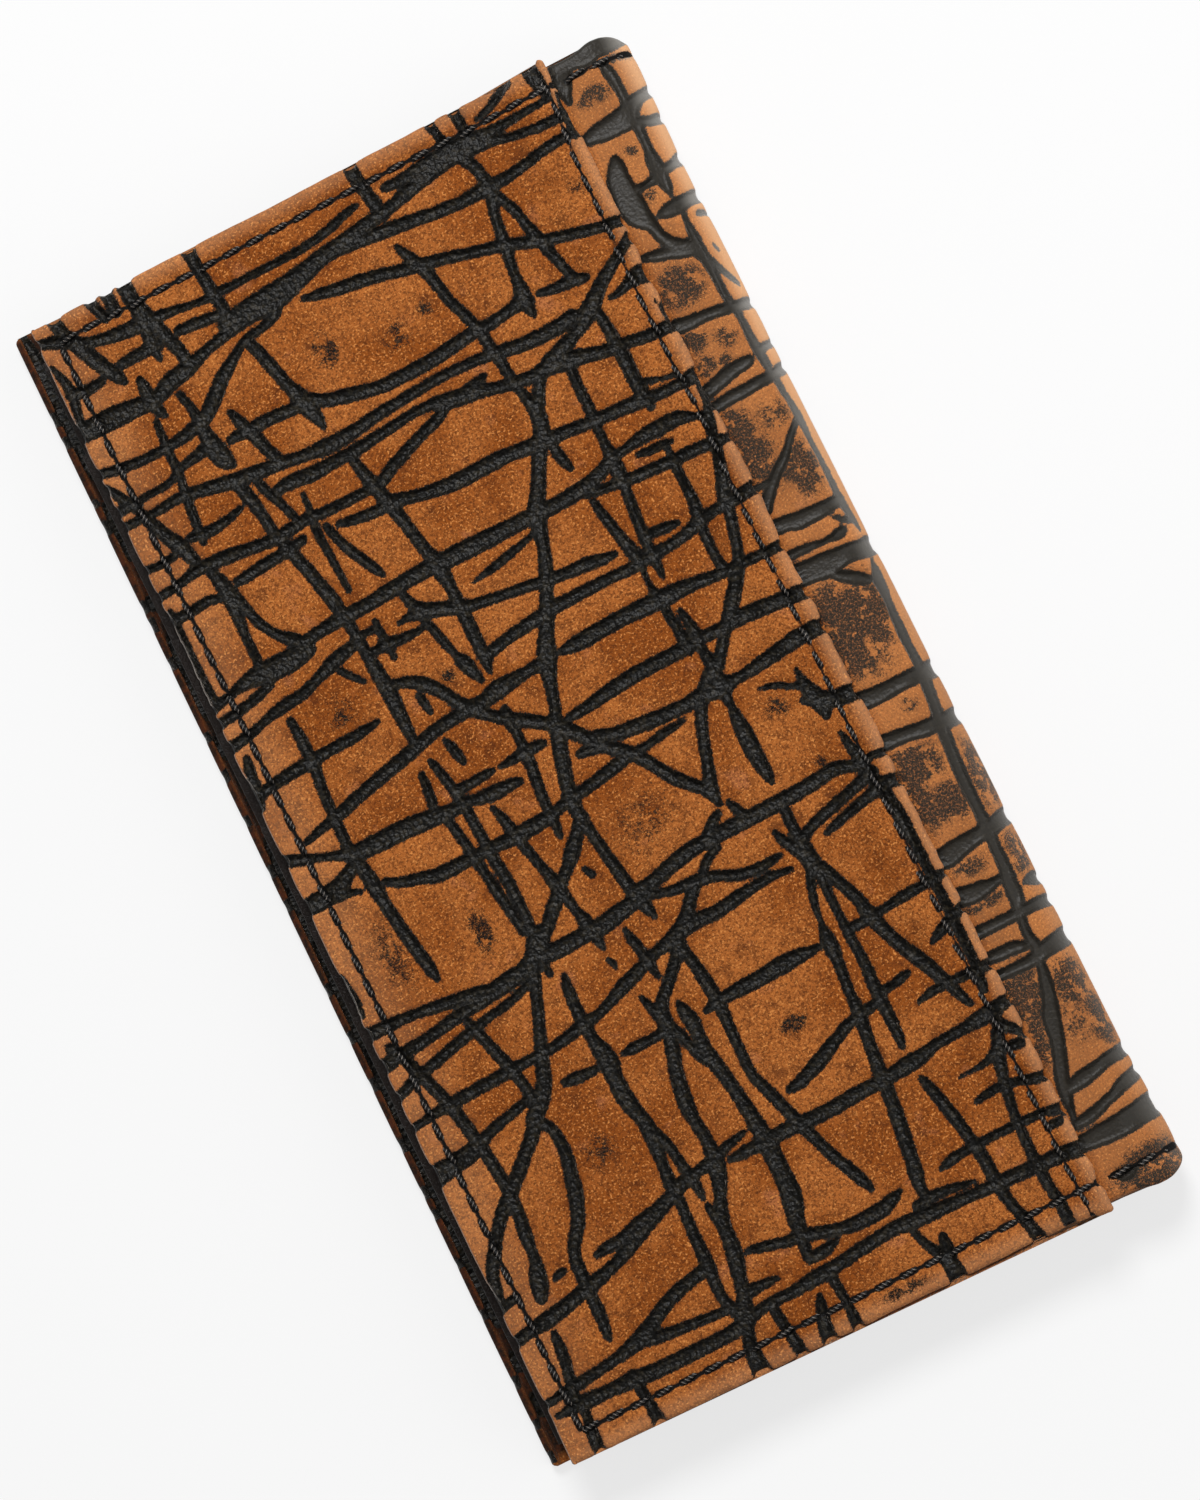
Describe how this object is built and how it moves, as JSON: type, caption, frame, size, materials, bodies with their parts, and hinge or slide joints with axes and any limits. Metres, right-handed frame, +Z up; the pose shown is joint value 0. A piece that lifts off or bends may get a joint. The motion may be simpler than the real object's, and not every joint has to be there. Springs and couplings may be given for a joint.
{
  "type": "rodeo wallet",
  "caption": "Long two-fold leather wallet with turned edges, a hemmed outer slip pocket, shingled card pockets, bill pockets and a clear card window.",
  "frame": {"origin": "middle of the underside of the closed wallet, on the surface it lies on", "axes": "+X across the leaves towards the spine, +Y along the spine towards the head, +Z up through the closed leaves"},
  "size_m": [0.0952, 0.1724, 0.0141],
  "materials": {
    "printed_leather": "tan nubuck, deeply embossed with black crackle lines",
    "pocket_leather": "thin smooth dark brown lining leather",
    "lining_cloth": "fine black-brown twill lining",
    "board": "grey stiffener board",
    "thread": "waxed black sewing thread",
    "clear_vinyl": "clear glossy vinyl sheet"
  },
  "bodies": {
    "back_leaf": {"back_cover": "printed_leather", "back_seam_thread": "thread", "back_board": "board", "back_lining": "lining_cloth", "bill_divider": "pocket_leather", "card_pocket_1": "pocket_leather", "card_pocket_2": "pocket_leather", "card_pocket_3": "pocket_leather", "card_pocket_4": "pocket_leather", "card_pocket_5": "pocket_leather", "card_pocket_6": "pocket_leather", "card_pocket_7": "pocket_leather", "card_pocket_8": "pocket_leather"},
    "spine": {"spine_cover": "printed_leather", "spine_lining": "lining_cloth"},
    "front_leaf": {"front_cover": "printed_leather", "front_board": "board", "front_lining": "lining_cloth", "bill_pocket_panel": "pocket_leather", "window_frame": "pocket_leather", "clear_window": "clear_vinyl", "slip_pocket": "pocket_leather", "outer_pocket_panel": "printed_leather", "outer_seam_thread": "thread", "mouth_seam_thread": "thread"}
  },
  "joints": [
    {"name": "spine_fold", "type": "hinge", "parent": "back_leaf", "child": "spine", "pos_m": [0.04644, 0, 0.00118], "axis": [0, 1, 0], "range_deg": [0, 90]},
    {"name": "front_fold", "type": "hinge", "parent": "spine", "child": "front_leaf", "pos_m": [0.04644, 0, 0.01109], "axis": [0, 1, 0], "range_deg": [0, 90]}
  ]
}
